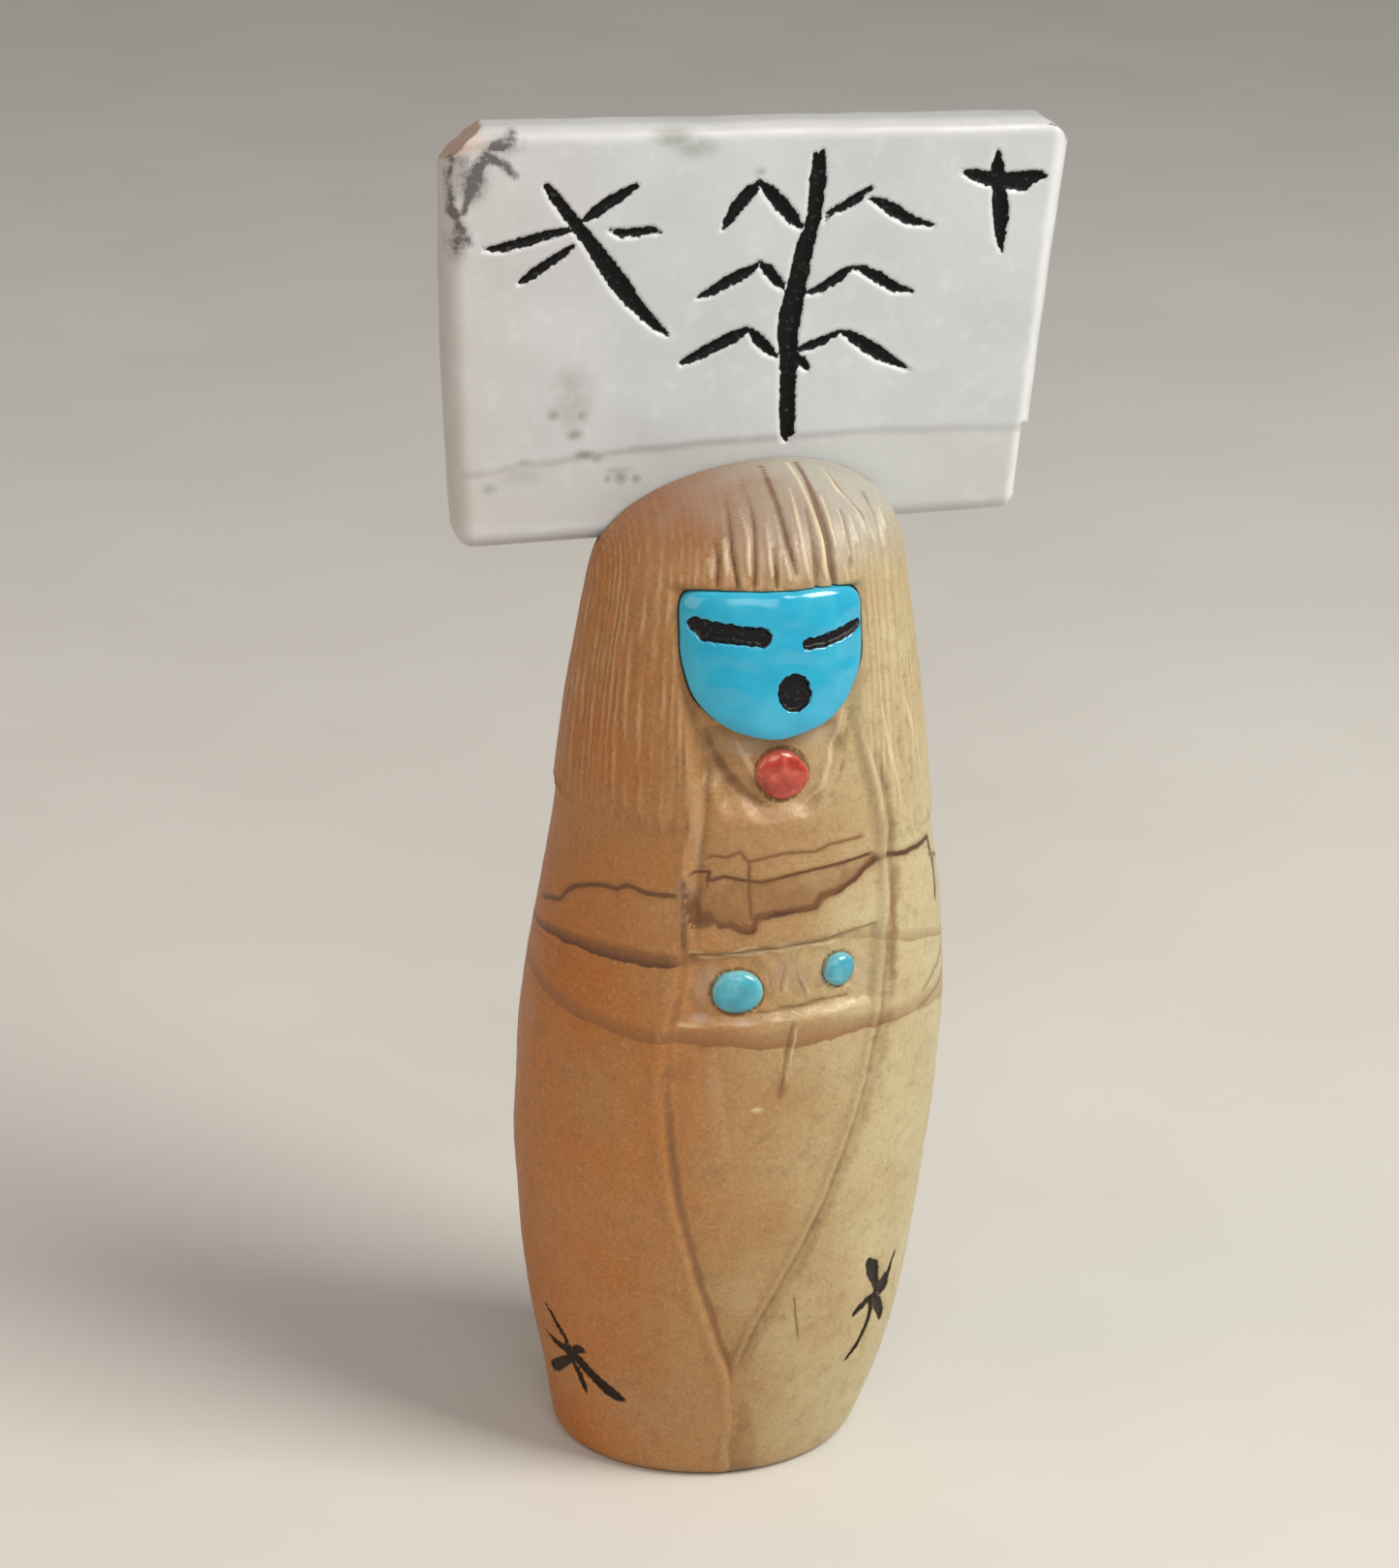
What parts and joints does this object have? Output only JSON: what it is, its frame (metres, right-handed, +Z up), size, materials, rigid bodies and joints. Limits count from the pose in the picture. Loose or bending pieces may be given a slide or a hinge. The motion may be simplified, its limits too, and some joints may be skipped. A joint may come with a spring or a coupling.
{
  "type": "stone fetish carving",
  "caption": "Standing stone figure carving of a robed corn maiden with a slab headdress, a set-in mask and set-in dots, on a flat foot.",
  "frame": {"origin": "middle of the flat foot that the figure stands on", "axes": "+Z up along the figure, -Y out of its face, +X to the viewer's right"},
  "size_m": [0.0449, 0.0271, 0.0995],
  "materials": {
    "figure_stone": "smooth tan stone with brown bands and thin veins, satin",
    "slab_stone": "polished white stone with grey veins and black filled engraving",
    "turquoise": "polished turquoise",
    "coral": "polished red coral"
  },
  "bodies": {
    "root": {"stone_figure": "figure_stone", "slab_headdress": "slab_stone", "turquoise_mask": "turquoise", "coral_dot": "coral", "belt_dot_left": "turquoise", "belt_dot_right": "turquoise"}
  },
  "joints": []
}
